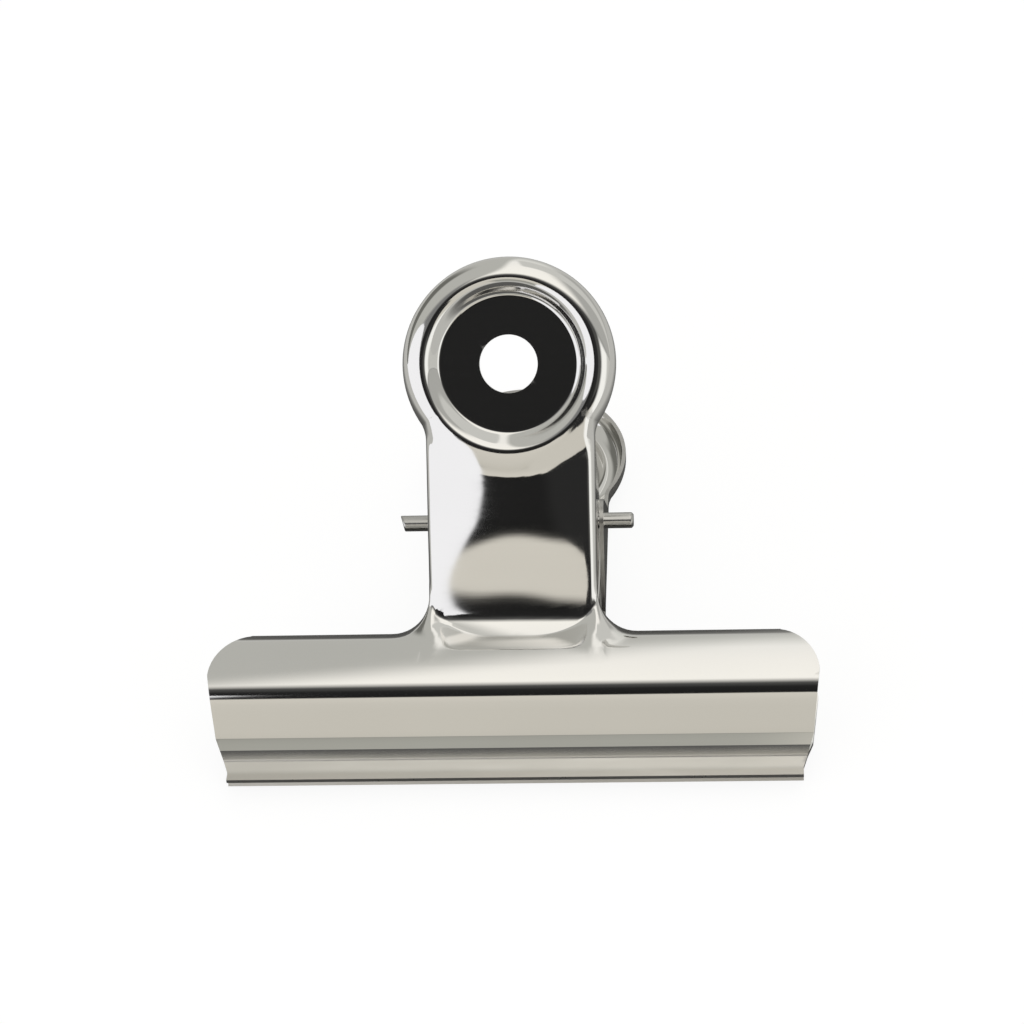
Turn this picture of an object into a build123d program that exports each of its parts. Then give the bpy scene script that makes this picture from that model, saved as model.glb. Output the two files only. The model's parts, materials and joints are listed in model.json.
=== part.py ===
from build123d import *
import math
import os

# Bulldog clip: two pressed steel plates, hinged on a pin, with a wound spring that pushes the handles apart.
# Sizes are in millimetres and degrees. In the clip's frame X runs along the pin, -Y to the front and +Z to the
# handles, and the pin's axis passes through the origin. Each plate also has a frame of its own: u across,
# s up the neck from the foot of the pin's square on the face, and n outward from the neck's face.

# Sheet
sheet = 0.5
lean = 24.5
pin_to_face = 9.6

# Handle
handle_height = 20.0
handle_radius = 13.2
crest_round = 2.45
dish_round = 1.5
crest_height = 1.0
wall_slope = 44.0
dish_level = -0.45
dish_corner = 0.6
rim_depth = 2.4
hole_radius = 3.6

# Neck and ears
shoulder = 2.75
neck_bend = 1.0
junction_round = 3.0
ear_gap = 0.4
ear_wall = 1.7
ear_drop = 1.2

# Jaw
jaw_width = 75.0
jaw_corner = 4.6
neck_foot = -13.3
jaw_set_back = 1.3
free_edge = 0.6
bulge_radius = 6.87
face_slope = 33.0
fold_slope = 41.5
fold_length = 1.58
step_slope = 50.0
step_length = 1.45
crease_round = 0.6
step_round = 1.2
lip_length = 1.7
lip_gap = 0.1
flare_slope = 28.0
flare_round = 1.5
flare_length = 1.25
crease_inset = 0.86
lip_inset = 2.14

# Pin
pin_diameter = 2.0
pin_stub = 3.4
pin_chamfer = 0.25
pin_shear = 16.0
running_clearance = 0.05

# Spring, of wire with a faceted section
wire_diameter = 1.5
wire_sides = 10
coil_gap = 1.55
turn_gap = 0.65
coil_turns = 6
leg_heel = 4.0
leg_foot = 5.0
leg_bend = 2.5
leg_gap = 0.05

# Sizes that follow from those above
front_half_width = handle_radius - shoulder
back_half_width = front_half_width + ear_gap + sheet
pin_length = 2 * (back_half_width + pin_stub)
ear_radius = pin_diameter / 2 + ear_wall
press_depth = pin_to_face + ear_radius + 2 * junction_round
crest_radius = handle_radius - crest_round
coil_radius = pin_diameter / 2 + coil_gap + wire_diameter / 2
coil_pitch = wire_diameter + turn_gap
lean_sin = math.sin(math.radians(lean))
lean_cos = math.cos(math.radians(lean))


def clip_point(s, n):
    """Gives the clip's (y, z) of a point of the front plate's frame."""
    return (-s * lean_sin - (pin_to_face + n) * lean_cos, s * lean_cos - (pin_to_face + n) * lean_sin)


def face_offset(y, z):
    """Gives how far a point of the clip's frame stands out from the front neck's face."""
    return -y * lean_cos - z * lean_sin - pin_to_face


def along(point, slope, length):
    """Steps down the jaw from a point, inward by a slope from the clip's middle plane."""
    angle = math.radians(slope)
    return (point[0] + length * math.sin(angle), point[1] - length * math.cos(angle))


face_plane = Plane(origin=(0, *clip_point(0, 0)), x_dir=(1, 0, 0), z_dir=(0, -lean_cos, -lean_sin))
side_plane = Plane(origin=(0, *clip_point(0, 0)), x_dir=(0, -lean_sin, lean_cos), z_dir=(1, 0, 0))
jaw_top = clip_point(neck_foot, -jaw_set_back)
bulge_centre = (jaw_top[0] + bulge_radius * lean_sin, jaw_top[1] - bulge_radius * lean_cos)


def bulge_point(slope):
    """Gives the point of the bulge where the face has turned inward by a slope."""
    angle = math.radians(slope)
    return (bulge_centre[0] - bulge_radius * math.cos(angle), bulge_centre[1] - bulge_radius * math.sin(angle))


# Corners of the jaw's outer face, from the end of the bulge down to the flared lip
bulge_end = bulge_point(face_slope)
lip_face = -lip_gap / 2 - sheet
crease_y = lip_face
for slope, length in ((fold_slope, fold_length), (step_slope, step_length)):
    crease_y -= length * math.sin(math.radians(slope))
crease = along(bulge_end, face_slope, (crease_y - bulge_end[0]) / math.sin(math.radians(face_slope)))
fold = along(crease, fold_slope, fold_length)
lip_top = along(fold, step_slope, step_length)
lip_foot = along(lip_top, 0, lip_length)
lip_end = along(lip_foot, -flare_slope, flare_length)


def handle_solid(inset, depth):
    """Revolves the handle's cup, with its face set in by inset."""
    slope = math.radians(wall_slope)
    crest_n = crest_height - crest_round
    dish_n = crest_height - dish_round
    round_out = crest_round - inset
    round_dish = dish_round - inset
    round_in = dish_corner + inset
    floor = dish_level - inset
    wall_top = (crest_radius - round_dish * math.sin(slope), dish_n + round_dish * math.cos(slope))
    wall_run = (wall_top[1] - floor) / math.tan(slope)
    corner = wall_top[0] - wall_run - round_in * math.tan(slope / 2)
    corner_mid = (corner + round_in * math.sin(slope / 2), floor + round_in * (1 - math.cos(slope / 2)))
    corner_end = (corner + round_in * math.sin(slope), floor + round_in * (1 - math.cos(slope)))
    dish_mid = (crest_radius - round_dish * math.sin(slope / 2), dish_n + round_dish * math.cos(slope / 2))
    crest = (crest_radius, crest_height - inset)
    crest_mid = (crest_radius + round_out * math.sqrt(0.5), crest_n + round_out * math.sqrt(0.5))
    skirt = (crest_radius + round_out, crest_n)
    outline = Polyline(skirt, (skirt[0], -depth), (0, -depth), (0, floor), (corner, floor))
    outline += ThreePointArc((corner, floor), corner_mid, corner_end)
    outline += Line(corner_end, wall_top)
    outline += ThreePointArc(wall_top, dish_mid, crest)
    outline += ThreePointArc(crest, crest_mid, skirt)
    return Pos(0, handle_height, 0) * revolve(Plane.XZ * make_face(outline), Axis.Z)


def neck_solid(half_width, inset, depth):
    """Makes the neck as a bar with rounded bends, hollowed where the handle's cup goes."""
    foot = neck_foot - junction_round - sheet
    length = handle_height - foot
    width = 2 * (half_width - inset)
    bar = Box(width, length, depth - inset, align=(Align.CENTER, Align.MIN, Align.MAX))
    bends = bar.edges().filter_by(Axis.Y).group_by(Axis.Z)[-1]
    bar = Pos(0, foot, -inset) * fillet(bends, neck_bend - inset)
    return bar - Pos(0, handle_height, 0) * Cylinder(crest_radius, 4 * depth)


def upper_solid(half_width, inset, depth):
    """Joins the handle and the neck and rounds the corner between them."""
    cup = handle_solid(inset, depth)
    bar = neck_solid(half_width, inset, depth)
    joined = cup + bar
    corner = new_edges(cup, bar, combined=joined)
    corner = corner.filter_by(lambda edge: edge.center().Y < handle_height and edge.center().Z > -depth + sheet)
    return fillet(corner, junction_round + inset)


def jaw_section(inset, depth):
    """Draws the jaw's side view, from its outer face to the press's back, set in by inset."""
    foot = along(lip_end, -flare_slope, flare_length)
    back_run = (face_offset(*foot) + depth) / math.cos(math.radians(flare_slope + lean))
    back_foot = along(foot, 90 - flare_slope, back_run)
    back_top = clip_point(neck_foot, -depth)
    outline = Line(back_top, jaw_top)
    outline += ThreePointArc(jaw_top, bulge_point((face_slope + lean - 90) / 2), bulge_end)
    outline += Polyline(bulge_end, crease, fold, lip_top, lip_foot, foot, back_foot, back_top)
    section = make_face(outline)
    rounds = ((crease, crease_round), (fold, crease_round), (lip_top, step_round), (lip_foot, flare_round))
    for place, radius in rounds:
        corner = section.vertices().sort_by_distance((*place, 0))[0]
        section = fillet(corner, radius)
    return offset(section, -inset) if inset else section


def press_solid(half_width, inset):
    """Joins the upper part and the jaw into the press's form and rounds the corner between them."""
    depth = press_depth + inset
    upper = face_plane.location * upper_solid(half_width, inset, depth)
    jaw = extrude(Plane.YZ * jaw_section(inset, depth + inset), jaw_width / 2 + inset, both=True)
    joined = upper + jaw
    return fillet(new_edges(upper, jaw, combined=joined), junction_round + inset)


def ear_trim():
    """Makes the block that leaves the rim, the ears and the jaw's top edge at their depths."""
    edge_depth = jaw_set_back + free_edge
    reach = jaw_width
    corner_height = math.sqrt((handle_radius + junction_round) ** 2 - (front_half_width + junction_round) ** 2)
    front = Rectangle(2 * reach, reach, align=(Align.CENTER, Align.MIN))
    rim = Rectangle(reach, rim_depth, align=(Align.MIN, Align.MAX))
    jaw = Rectangle(reach, edge_depth, align=(Align.MAX, Align.MAX))
    lobe = Pos(0, -pin_to_face) * Circle(ear_radius)
    foot = neck_foot + junction_round
    head = handle_height - corner_height - ear_drop
    ear = make_hull([*lobe.edges(), Line((foot, 0), (foot, -edge_depth)), Line((head, 0), (head, -rim_depth))])
    return extrude(side_plane * (front + rim + jaw + ear), jaw_width, both=True)


def jaw_trim():
    """Makes the block that gives the jaw its taper and the lip's square end."""
    half = jaw_width / 2
    top = clip_point(neck_foot, -jaw_set_back - free_edge)[1]
    low = -2 * jaw_width
    side = Polyline(
        (0, top),
        (half, top),
        (half, bulge_centre[1]),
        (half - crease_inset, crease[1]),
        (half - lip_inset, lip_foot[1]),
        (half - lip_inset, low),
        (0, low),
        close=True,
    )
    outline = make_face(side)
    outline += mirror(outline, Plane.YZ)
    outline += Pos(0, top) * Rectangle(half, jaw_width, align=(Align.CENTER, Align.MIN))
    block = extrude(Plane.XZ * outline, jaw_width, both=True)
    end_plane = Plane(origin=(0, *lip_end), x_dir=(1, 0, 0), z_dir=(0, *along((0, 0), -flare_slope, 1)))
    waste = Box(2 * jaw_width, 2 * jaw_width, jaw_width, align=(Align.CENTER, Align.CENTER, Align.MIN))
    return block - end_plane.location * waste


def corner_trim():
    """Makes the block that rounds the jaw's top corners, as seen straight onto the neck's face."""
    jaw = Rectangle(jaw_width, 2 * jaw_width, align=(Align.CENTER, Align.MAX))
    outline = fillet(jaw.vertices().group_by(Axis.Y)[-1], jaw_corner)
    outline += Rectangle(jaw_width / 2, jaw_width, align=(Align.CENTER, Align.MIN))
    return extrude(face_plane * (Pos(0, neck_foot) * outline), jaw_width, both=True)


def plate(half_width, bore):
    """Presses one plate out of the sheet and bores its handle and its ears."""
    pressed = press_solid(half_width, 0) - press_solid(half_width, sheet)
    trimmed = pressed & ear_trim() & jaw_trim() & corner_trim()
    trimmed -= face_plane.location * Pos(0, handle_height, 0) * Cylinder(hole_radius, 2 * press_depth)
    return trimmed - Rot(0, 90, 0) * Cylinder(bore / 2, jaw_width)


def hinge_pin():
    """Makes the pin, with one chamfered end and one sheared at a slant."""
    rod = Rot(0, 90, 0) * Cylinder(pin_diameter / 2, pin_length)
    rod = chamfer(rod.edges().sort_by(Axis.X)[-1], pin_chamfer)
    waste = Box(pin_length, pin_length, pin_length, align=(Align.MAX, Align.CENTER, Align.CENTER))
    return rod - Pos(-pin_length / 2, 0, pin_diameter / 2) * Rot(0, -pin_shear, 0) * waste


def biarc(start, start_way, end, end_way):
    """Joins two points by two tangent arcs that leave and arrive along the given ways."""
    span = end - start
    middle = span.dot(start_way + end_way)
    square = 2 * (1 - start_way.dot(end_way))
    reach = (math.sqrt(middle**2 + square * span.dot(span)) - middle) / square
    joint = (start + start_way * reach + end - end_way * reach) / 2
    first = TangentArc(start, joint, tangent=start_way)
    return [first, TangentArc(joint, end, tangent=first % 1)]


def spring_path():
    """Draws the wire's centre line: a leg down the front plate, the turns, and a leg up the back plate."""
    press_n = -sheet - leg_gap - wire_diameter / 2
    heel = Vector(0, *clip_point(leg_heel, press_n))
    toe = Vector(0, *clip_point(leg_heel + leg_foot, press_n))
    first_angle = math.atan2(heel.Z, heel.Y) + math.acos(coil_radius / heel.length)
    last_angle = math.pi - first_angle + 2 * math.pi * (coil_turns + 1)
    wound = last_angle - first_angle
    half_length = coil_pitch * wound / (4 * math.pi)

    def coil_point(angle):
        x = half_length * (2 * (angle - first_angle) / wound - 1)
        return Vector(x, coil_radius * math.cos(angle), coil_radius * math.sin(angle))

    def coil_way(angle):
        rise = 0 if angle in (first_angle, last_angle) else coil_pitch / (2 * math.pi)
        return Vector(rise, -coil_radius * math.sin(angle), coil_radius * math.cos(angle)).normalized()

    quarters = round(4 * wound / (2 * math.pi))
    angles = [first_angle + wound * quarter / quarters for quarter in range(quarters)] + [last_angle]
    near = Vector(-half_length, 0, 0)
    far = Vector(half_length, 0, 0)
    flip = Rot(0, 0, 180)
    leg_in = FilletPolyline(toe + near, heel + near, coil_point(first_angle), radius=leg_bend)
    leg_out = flip * FilletPolyline(toe - far, heel - far, coil_point(first_angle), radius=leg_bend)
    edges = list(leg_in.edges()) + list(leg_out.edges())
    for before, after in zip(angles, angles[1:]):
        edges += biarc(coil_point(before), coil_way(before), coil_point(after), coil_way(after))
    return Wire(edges)


def least_self_gap(path):
    """Measures, on points along the wire, the least gap between one stretch and another half a turn away."""
    count = 800
    points = [tuple(point) for point in path.positions([step / count for step in range(count + 1)])]
    apart = math.ceil(math.pi * coil_radius / (path.length / count))
    return min(
        math.dist(point, other) - wire_diameter
        for index, point in enumerate(points)
        for other in points[index + apart :]
    )


def rest_location(pieces):
    """Lays the clip on its back, on the back jaw's bulge and the back handle's crest, with its origin below."""
    crest_y, crest_z = clip_point(handle_height + crest_radius, crest_height - crest_round)
    run_y = -crest_y + bulge_centre[0]
    run_z = crest_z - bulge_centre[1]
    tilt = math.atan2(run_y, run_z) - math.asin((bulge_radius - crest_round) / math.hypot(run_y, run_z))
    floor = Plane(origin=(0, 0, 0), x_dir=(1, 0, 0), z_dir=(0, -math.cos(tilt), math.sin(tilt)))
    laid = floor.location.inverse()
    box = (laid * Compound(children=pieces)).bounding_box()
    return Pos(-box.center().X, -box.center().Y, -box.min.Z) * laid


path = spring_path()
print(f"Least gap of the spring to itself: {least_self_gap(path):.2f} mm")
pieces = {
    "front_plate": plate(front_half_width, pin_diameter + 2 * running_clearance),
    "back_plate": Rot(0, 0, 180) * plate(back_half_width, pin_diameter),
    "hinge_pin": hinge_pin(),
    "torsion_spring": sweep(Plane(path ^ 0) * RegularPolygon(wire_diameter / 2, wire_sides), path=path),
}
rest = rest_location([piece.solid() for piece in pieces.values()])
pin_centre = rest.position
print(f"Pin axis through Y {pin_centre.Y:.3f} mm, Z {pin_centre.Z:.3f} mm")
os.makedirs("parts", exist_ok=True)
for name, piece in pieces.items():
    export_step(rest * piece, f"parts/{name}.step")
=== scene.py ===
import json
import math
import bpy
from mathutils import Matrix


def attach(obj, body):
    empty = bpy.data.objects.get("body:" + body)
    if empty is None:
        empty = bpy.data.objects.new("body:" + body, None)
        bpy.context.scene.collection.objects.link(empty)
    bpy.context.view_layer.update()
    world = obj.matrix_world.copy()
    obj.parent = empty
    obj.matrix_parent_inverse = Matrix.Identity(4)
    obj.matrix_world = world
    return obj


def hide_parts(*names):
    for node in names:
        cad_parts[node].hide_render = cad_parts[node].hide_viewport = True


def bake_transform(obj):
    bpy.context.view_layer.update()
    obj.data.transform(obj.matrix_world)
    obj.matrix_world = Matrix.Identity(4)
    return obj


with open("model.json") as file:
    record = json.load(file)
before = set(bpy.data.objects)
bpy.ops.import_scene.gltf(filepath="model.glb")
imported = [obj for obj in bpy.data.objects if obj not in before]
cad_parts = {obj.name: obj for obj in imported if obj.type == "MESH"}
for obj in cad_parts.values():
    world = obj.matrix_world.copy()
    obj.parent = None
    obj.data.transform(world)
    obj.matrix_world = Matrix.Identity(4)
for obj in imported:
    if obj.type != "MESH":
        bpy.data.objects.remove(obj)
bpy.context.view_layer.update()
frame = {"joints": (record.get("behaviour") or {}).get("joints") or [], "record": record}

from types import SimpleNamespace

import bpy
import numpy as np
from bpy.props import FloatProperty, FloatVectorProperty, IntProperty, PointerProperty
from mathutils import Matrix, Vector

bl_info = {
    "name": "Bulldog clip",
    "version": (1, 0, 0),
    "blender": (4, 5, 0),
    "location": "View3D > Sidebar > Clip",
    "description": "Builds the plates, pin and spring of a bulldog clip on a plain studio stage",
    "category": "Object",
}

MM = 0.001
PIN_CENTRE = np.array(frame["joints"][0]["pos_m"])

# Fields of a piece's points that its material reads
# The lips' field: rougher where paper rubs them, and darker by painted shade
RUBBED_AND_SHADED = "rubbed_and_shaded"
WIRE_GRAIN = "wire_grain"

# Counts and spacings of the plates' grid
COLLAR_ROWS = 9
NECK_ROWS = 22
NECK_END = COLLAR_ROWS + NECK_ROWS
CURL_SHARES = np.array((0.2, 0.4, 0.6, 0.78, 0.9, 0.96, 1))
UNDER_SHARES = np.array((0.07, 0.18, 0.32, 0.48, 0.65, 0.83, 1))
FOOT_ROWS = len(CURL_SHARES) + len(UNDER_SHARES)
WALL_SHARES = (1 / 3, 2 / 3)
FLOOR_SHARES = np.array((0.06, 0.25, 0.5, 0.75, 0.94, 1))
CREST_RINGS = 6
CORNER_RINGS = 5
BULGE_ROWS = 15
FACE_COLUMNS = 18
RIM_COLUMNS = 40
GUSSET_COLUMNS = 6
SIDE_COLUMNS = 26
BEND_STEPS = 10
WALL_STEPS = 2
EAR_STEPS = 6
EAR_EDGE_STEPS = 26
EAR_CROWDING = 1.6
BOW_ROWS = 8
SETTLED_COLUMNS = 6
EVEN_ROUNDS = 12
JAW_SPACING = 0.9
JAW_START = math.radians(58)

# Fine shape of the pressed skin, in millimetres, and in shares of the neck face's half width
CROWN_START = 6
CROWN_RUN = 14.5
FACE_OVERRUN = 1.15
PINCH_DEPTH = 0.5
PINCH_WIDTH = 0.6
SAG_START = 0.1
CURL_REACH = 0.8
LIFT_MIDDLE = math.radians(15)
LIFT_WIDTH = 1.25
LIFT_FADE = 0.6
COLLAR_LENGTH = 3.4
COLLAR_HOLLOW = 0.08
CREASE_HOLLOW = 0.1
CREASE_END = 0.7
FOOT_TOP = 0.4
BEND_EASE = 5
GUSSET_START = 1.8
GUSSET_SOFT = 1.6
POLE_OUTSIDE = 1.2
DRAW_IN_REACH = 2.5

# Sheet: how far the inner side may shrink at a corner, the softened edge, and where the lips are rubbed and
# darkened with painted shade
LEAST_CORNER = 0.1
THINNING = 0.85
EDGE_WIDTH = 0.06
EDGE_ANGLE = math.radians(55)
RUBBED_AND_SHADED_RISE = 0.9
RUBBED_AND_SHADED_FADE = 0.6

# Pin and wire: room in the front ears' bores, points round, steps along the wire, and its softened ends
PIN_CLEARANCE = 0.05
PIN_AROUND = 48
WIRE_AROUND = 24
WIRE_SPACING = 0.6
WIRE_TURN = math.radians(10)
WIRE_END = 0.18

# Camera's target in millimetres, and half the floor's size in metres
CAMERA_TARGET = (-0.588, 0.937, 14.184)
FLOOR_HALF = 3.0

# Studio round the clip, by angle up from the camera's axis, seen from the clip
BAND_SLANT = 0.15
STUDIO_BANDS = (
    (-180, (0.45, 0.45, 0.43)),
    (-60, (0.40, 0.40, 0.37)),
    (-43, (0.44, 0.44, 0.40)),
    (-39, (0.32, 0.32, 0.29)),
    (-32, (0.34, 0.34, 0.31)),
    (-29, (0.63, 0.605, 0.54)),
    (-24, (0.68, 0.655, 0.59)),
    (-12.1, (0.74, 0.71, 0.64)),
    (-11.2, (0.013, 0.013, 0.013)),
    (1, (0.020, 0.020, 0.020)),
    (9, (0.09, 0.09, 0.088)),
    (18, (1.10, 1.08, 1.02)),
    (60, (1.06, 1.04, 0.99)),
    (90, (1.0, 0.99, 0.95)),
    (120, (0.72, 0.725, 0.69)),
    (180, (0.45, 0.45, 0.43)),
)

# Soft cards over the bands: a colour, then limits as shares of height and side angle, from none to full
STUDIO_CARDS = {
    "grey wall at the upper left": ((0.53, 0.53, 0.50), ((1, 0, 10, 18), (-0.141, 1, -13.2, -18.6))),
    "grey wall at the upper right": ((0.46, 0.46, 0.44), ((1, 0, 8, 16), (0, 1, 12, 32))),
    "pale ceiling at the right": ((0.66, 0.66, 0.63), ((1, 0, 60, 68), (1, 0, 112, 100), (0, 1, 0.5, 4))),
    "dark ceiling at the left": ((0.17, 0.17, 0.155), ((1, 0, 80, 96), (0, 1, -18, -36))),
    "dark stand at the left": (
        (0.22, 0.22, 0.22),
        ((1, 0, 24, 12), (1, 0, -16, -10), (0, 1, -14, -18), (0, 1, -60, -38)),
    ),
    "warm table at the lower right": ((0.68, 0.655, 0.59), ((1, 0, -20, -26), (0, 1, -2.5, 0))),
    "dark round the camera": (
        (0.025, 0.025, 0.025),
        ((1, 0, 8, 1), (1, 1.1, -12.6, -11.6), (1, 0, -23, -20), (0, 1, -3, 0)),
    ),
    "grey right of the camera": ((0.085, 0.085, 0.08), ((1, 0, 12, 6), (1, 0, -14, -12), (0, 1, 8, 16))),
    "white card at the right": ((1.08, 1.08, 1.05), ((1, 0, 14, 6), (0, 1, 24, 38))),
    "grey edge of the white card": ((0.62, 0.62, 0.59), ((1, 0, 14, 6), (0, 1, 56, 72))),
    "window at the left": ((1.06, 1.065, 1.10), ((-0.18, 1, -11.5, -12.3), (1, 0.8, -16.4, -17.1))),
}

# Painted shade on the floor that metal shows in front of the clip: its middle and half sizes in metres, and
# its soft edge
FLOOR_SHADE_MIDDLE = (-0.012, -0.085)
FLOOR_SHADE_HALF = (0.062, 0.15)
FLOOR_SHADE_EDGE = (0.75, 1.6)


def length(name, description, millimetres):
    """Makes a length that a user can change."""
    return FloatProperty(name=name, description=description, default=millimetres * MM, subtype="DISTANCE")


def angle(name, description, degrees):
    """Makes an angle that a user can change."""
    return FloatProperty(name=name, description=description, default=math.radians(degrees), subtype="ANGLE")


def colour(name, description, value):
    """Makes a colour that a user can change."""
    return FloatVectorProperty(
        name=name, description=description, default=value, subtype="COLOR", size=3, min=0, max=2
    )


class PlateSizes(bpy.types.PropertyGroup):
    """Sizes of the two pressed plates"""

    sheet: length("Sheet", "Thickness of the steel sheet", 0.5)
    lean: angle("Lean", "Angle from the clip's middle plane to each neck", 24.5)
    pin_to_face: length("Pin to face", "From the pin's axis to the neck's outer face", 9.6)
    handle_height: length("Handle height", "From the pin's axis up the neck to the handle's middle", 20)
    handle_radius: length("Handle radius", "Outer radius of the round handle", 13.2)
    crest_round: length("Crest round", "Radius of the handle's rounded crest, outside", 2.45)
    dish_round: length("Dish round", "Radius of the crest on the dish's side", 1.5)
    crest_height: length("Crest height", "Height of the crest over the neck's face", 1)
    wall_slope: angle("Wall slope", "Slope of the dish's wall", 44)
    dish_level: length("Dish level", "Height of the dish's floor over the neck's face", -0.45)
    dish_corner: length("Dish corner", "Round between the dish's floor and wall", 0.6)
    rim_depth: length("Rim depth", "Depth of the handle's turned-down rim", 2.4)
    hole_radius: length("Hole radius", "Radius of the hole in the handle", 3.6)
    front_half_width: length("Front half width", "Half the width of the front neck over its ears", 10.45)
    back_half_width: length("Back half width", "Half the width of the back neck over its ears", 11.05)
    neck_bend: length("Neck bend", "Outer radius of the bend from the neck to its ears", 1)
    neck_crown: length("Neck crown", "Rise of the neck's middle under the handle", 0.52)
    foot_crown: length("Foot crown", "Rise of the neck's middle over the jaw", 0.27)
    neck_sag: length("Neck sag", "Sink of the neck's face towards the jaw", 0.5)
    sag_length: length("Sag length", "Length over which the neck's face sinks", 11.9)
    shoulder_round: length("Shoulder round", "Hollow round between the handle and the neck", 3)
    collar_slope: angle("Collar slope", "Slope of the collar between the handle's crest and the neck", 10.5)
    foot_round: length("Foot round", "Radius of the curl at the neck's foot", 5)
    curl_top: length("Curl top", "Height over the pin where the neck's foot starts to curl", -10.8)
    foot_slant: angle("Foot slant", "Slant of the jaw's top beside the neck's foot", 47)
    gusset_round: length("Gusset round", "Hollow round between the neck's sides and the jaw", 4.8)
    ear_radius: length("Ear radius", "Radius of the ears' lobes round the pin", 2.7)
    ear_head: length("Ear head", "Height over the pin where the ears start", 9.77)
    jaw_width: length("Jaw width", "Width of the jaws", 75)
    jaw_corner: length("Jaw corner", "Radius of the jaws' upper corners", 4.6)
    neck_foot: length("Neck foot", "Height of the jaw's upper edge over the pin", -13.3)
    jaw_set_back: length("Jaw set back", "From the neck's face back to the bulge's middle", 1.3)
    free_edge: length("Free edge", "Straight run at the jaw's upper edge", 0.6)
    bulge_radius: length("Bulge radius", "Radius of the jaw's bulge", 6.87)
    face_slope: angle("Face slope", "Slope of the jaw's face", 33)
    fold_slope: angle("Fold slope", "Slope of the fold under the face", 41.5)
    fold_length: length("Fold length", "Length of the fold under the face", 1.58)
    step_slope: angle("Step slope", "Slope of the step over the lip", 46.5)
    step_length: length("Step length", "Length of the step over the lip", 1.45)
    crease_round: length("Crease round", "Round at each crease of the jaw's face", 0.6)
    step_round: length("Step round", "Round where the step meets the lip", 0.6)
    lip_length: length("Lip length", "Length of the flat lip", 1.54)
    lip_gap: length("Lip gap", "Gap between the two lips at rest", 0.1)
    flare_slope: angle("Flare slope", "Slope of the flared edge under the lip", 28)
    flare_round: length("Flare round", "Round where the lip flares", 1.5)
    flare_length: length("Flare length", "Length of the flared edge", 1.25)
    crease_inset: length("Crease inset", "How far each end has drawn in at the crease", 0.86)
    lip_inset: length("Lip inset", "How far each end has drawn in at the lip", 2.14)


class WireSizes(bpy.types.PropertyGroup):
    """Sizes of the hinge pin and the torsion spring"""

    pin_radius: length("Pin radius", "Radius of the hinge pin", 1)
    pin_length: length("Pin length", "Length of the hinge pin", 29.5)
    pin_chamfer: length("Pin chamfer", "Chamfer on the pin's neat end", 0.25)
    pin_shear: angle("Pin shear", "Slant of the pin's sheared end", 16)
    wire_radius: length("Wire radius", "Radius of the spring's wire", 0.75)
    coil_radius: length("Coil radius", "Radius of the turns to the wire's middle", 3.3)
    coil_pitch: length("Coil pitch", "Step from turn to turn", 2.15)
    coil_turns: IntProperty(
        name="Coil turns", description="Whole turns of the spring", default=6, min=2, max=12
    )
    leg_heel: length("Leg heel", "Height over the pin where a leg meets its plate", 4)
    leg_foot: length("Leg foot", "Length of a leg along its plate", 5)
    leg_bend: length("Leg bend", "Radius of the bend in a leg", 2.5)
    leg_gap: length("Leg gap", "Gap between a leg and its plate", 0.05)


class ClipFinish(bpy.types.PropertyGroup):
    """Colours of the clip's metals"""

    nickel: colour("Nickel", "Plating of the plates", (0.83, 0.82, 0.80))
    pin_steel: colour("Pin steel", "Bare steel of the pin", (0.62, 0.61, 0.59))
    spring_steel: colour("Spring steel", "Wire of the spring", (0.45, 0.44, 0.43))
    # The lips' darker plating is painted shade, with a warm tint of rubbing
    rubbed_and_shaded_nickel: colour("Rubbed nickel", "Plating of the lips, rubbed by paper", (0.70, 0.68, 0.635))
    cut_steel: colour("Cut steel", "Bare steel of the sheared edges", (0.55, 0.54, 0.52))
    wire_bloom: colour("Wire bloom", "Brown bloom on the spring's wire", (0.30, 0.26, 0.21))
    polish: FloatProperty(
        name="Polish", description="Roughness of the plating", default=0.06, subtype="FACTOR"
    )


class StageLook(bpy.types.PropertyGroup):
    """Floor, light and camera"""

    floor: colour("Floor", "Colour of the floor under soft light", (0.17, 0.17, 0.17))
    floor_glow: colour("Floor glow", "Evenly lit white of the floor, for the camera", (0.90, 0.90, 0.90))
    backdrop: colour("Backdrop", "Colour behind the clip", (1, 1, 1))
    # Painted shade: the floor's glow that metal shows, darkened by the clip
    painted_floor_shade: colour("Floor shade", "Floor by the clip, as metal shows it", (0.005, 0.005, 0.005))
    floor_open: colour("Open floor", "Floor away from the clip, as metal shows it", (0.45, 0.45, 0.43))
    azimuth: angle("Azimuth", "Direction that the camera looks from", 6.307)
    elevation: angle("Elevation", "Height that the camera looks from", 48.918)
    roll: angle("Roll", "Turn of the camera about its axis", -5.696)
    distance: length("Distance", "From the camera to the clip", 403)
    lens: FloatProperty(
        name="Lens", description="Focal length in millimetres", default=112.2, unit="CAMERA"
    )


def millimetres(group):
    """Reads a group's sizes, with lengths in millimetres and angles in radians."""
    values = {}
    for name, prop in group.bl_rna.properties.items():
        if prop.type in ("FLOAT", "INT"):
            value = getattr(group, name)
            values[name] = value / MM if prop.subtype == "DISTANCE" else value
    return SimpleNamespace(**values)


def smooth(share):
    """Eases a share in and out between 0 and 1."""
    share = np.clip(share, 0, 1)
    return share * share * (3 - 2 * share)


def between(first, second, share):
    """Goes a share of the way from one value to another."""
    return first + (second - first) * share


def turned(chain_angle):
    """Gives unit directions (across, up) for angles."""
    return np.stack((np.cos(chain_angle), np.sin(chain_angle)), -1)


def round_corner(p, q, radius):
    """Gives the distance to a quarter-round corner, and its slope along both ways."""
    wide = np.maximum(p, 0)
    high = np.maximum(q, 0)
    reach = np.hypot(wide, high)
    outside = reach > 1e-9
    safe = np.where(outside, reach, 1)
    gap = reach + np.minimum(np.maximum(p, q), 0) - radius
    return gap, np.where(outside, wide / safe, p > q), np.where(outside, high / safe, p <= q)


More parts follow.
